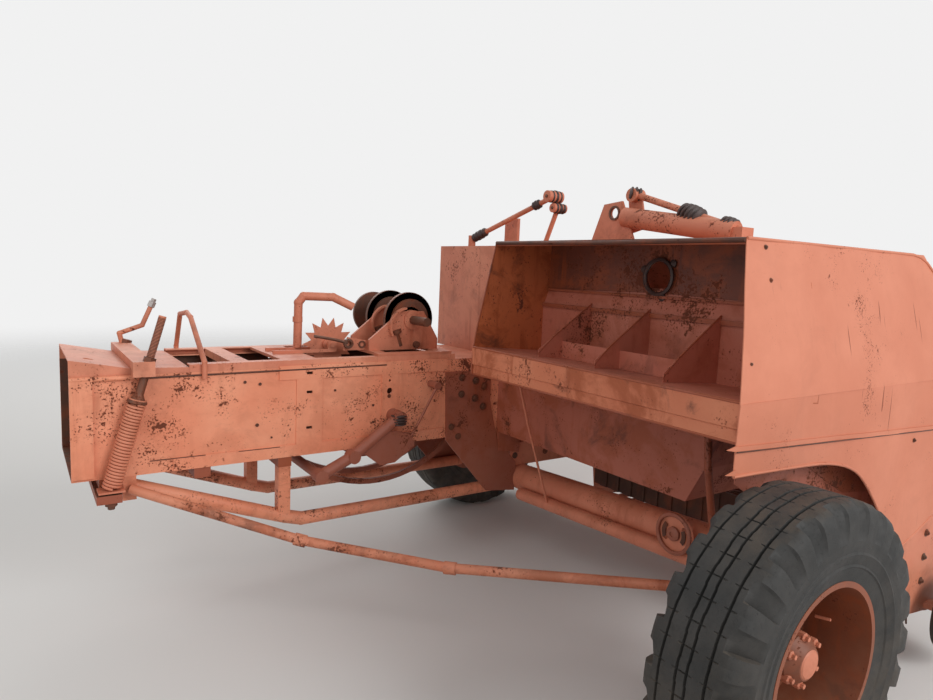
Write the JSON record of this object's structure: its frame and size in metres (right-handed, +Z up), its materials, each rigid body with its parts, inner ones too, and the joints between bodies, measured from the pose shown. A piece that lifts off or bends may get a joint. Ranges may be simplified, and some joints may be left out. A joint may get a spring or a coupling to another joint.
{
  "type": "square baler",
  "caption": "Towed in-line baler for small rectangular bales: long bale chamber, side pickup and feeder, open twine box, two tyred wheels, drawbar and parking jack.",
  "frame": {"origin": "on the ground under the middle of the whole machine", "axes": "+X forward towards the hitch, +Y to the machine's left, +Z up"},
  "size_m": [5.635, 2.714, 1.8359],
  "materials": {
    "faded_paint": "matte",
    "paint": "matte",
    "rusty_sheet": "matte",
    "bare_steel": "matte",
    "rubber": "matte"
  },
  "bodies": {
    "frame": {"chamber_right_side": "faded_paint", "chamber_left_side": "paint", "chamber_floor": "rusty_sheet", "chamber_top_rails": "faded_paint", "density_plate": "faded_paint", "density_crossbeam": "faded_paint", "density_springs": "faded_paint", "bale_hoop": "paint", "lower_braces": "paint", "diagonal_brace": "rusty_sheet", "gusset_plates": "paint", "axle_beam": "paint", "axle_arms": "paint", "lift_pipe": "paint", "frame_rails": "paint", "front_frame": "paint", "crank_housing": "paint", "gearbox": "bare_steel", "feeder_housing": "paint", "wheel_guard": "rusty_sheet", "side_panel": "faded_paint", "twine_box": "rusty_sheet", "twine_partitions": "paint", "top_cover": "paint", "packer_linkage_left": "paint", "packer_linkage_right": "paint", "knotter_frames": "paint", "knotter_shaft": "bare_steel", "metering_arm": "paint", "needle_yoke": "paint"},
    "wheel_right": {"tyre_right": "rubber", "rim_right": "paint"},
    "wheel_left": {"tyre_left": "rubber", "rim_left": "paint"},
    "flywheel": {"flywheel": "bare_steel"},
    "drawbar": {"drawbar": "faded_paint", "drive_shaft": "bare_steel"},
    "jack": {"jack_leg": "bare_steel"},
    "pickup": {"pickup_frame": "paint", "pickup_bands": "faded_paint"},
    "reel": {"pickup_reel": "bare_steel"},
    "wind_guard": {"wind_guard": "bare_steel"},
    "gauge_wheel": {"gauge_wheel": "rubber"},
    "metering_wheel": {"metering_wheel": "paint"}
  },
  "joints": [
    {"name": "wheel_right_spin", "type": "hinge", "parent": "frame", "child": "wheel_right", "pos_m": [-1.2725, -1.229, 0.45], "axis": [0, 1, 0], "continuous": true},
    {"name": "wheel_left_spin", "type": "hinge", "parent": "frame", "child": "wheel_left", "pos_m": [-0.5875, 1.229, 0.45], "axis": [0, 1, 0], "continuous": true},
    {"name": "flywheel_spin", "type": "hinge", "parent": "frame", "child": "flywheel", "pos_m": [0.9545, 0.746, 0.83], "axis": [1, 0, 0], "continuous": true},
    {"name": "drawbar_swing", "type": "hinge", "parent": "frame", "child": "drawbar", "pos_m": [1.1425, 0.746, 0.45], "axis": [0, 0, 1], "range_deg": [-25, 10]},
    {"name": "jack_slide", "type": "slide", "parent": "drawbar", "child": "jack", "axis": [0, 0, 1], "range_m": [0, 0.28]},
    {"name": "pickup_lift", "type": "hinge", "parent": "frame", "child": "pickup", "pos_m": [-0.2975, -0.319, 0.56], "axis": [0, 1, 0], "range_deg": [-12, 15]},
    {"name": "reel_spin", "type": "hinge", "parent": "pickup", "child": "reel", "pos_m": [-0.0075, -0.319, 0.4], "axis": [0, 1, 0], "continuous": true},
    {"name": "wind_guard_lift", "type": "hinge", "parent": "pickup", "child": "wind_guard", "pos_m": [-0.2025, -0.319, 0.73], "axis": [0, 1, 0], "range_deg": [-40, 0]},
    {"name": "gauge_wheel_spin", "type": "hinge", "parent": "pickup", "child": "gauge_wheel", "pos_m": [-0.0375, -1.194, 0.215], "axis": [0, 1, 0], "continuous": true},
    {"name": "metering_wheel_spin", "type": "hinge", "parent": "frame", "child": "metering_wheel", "pos_m": [-1.7775, 0.746, 1.072], "axis": [0, 1, 0], "continuous": true}
  ]
}
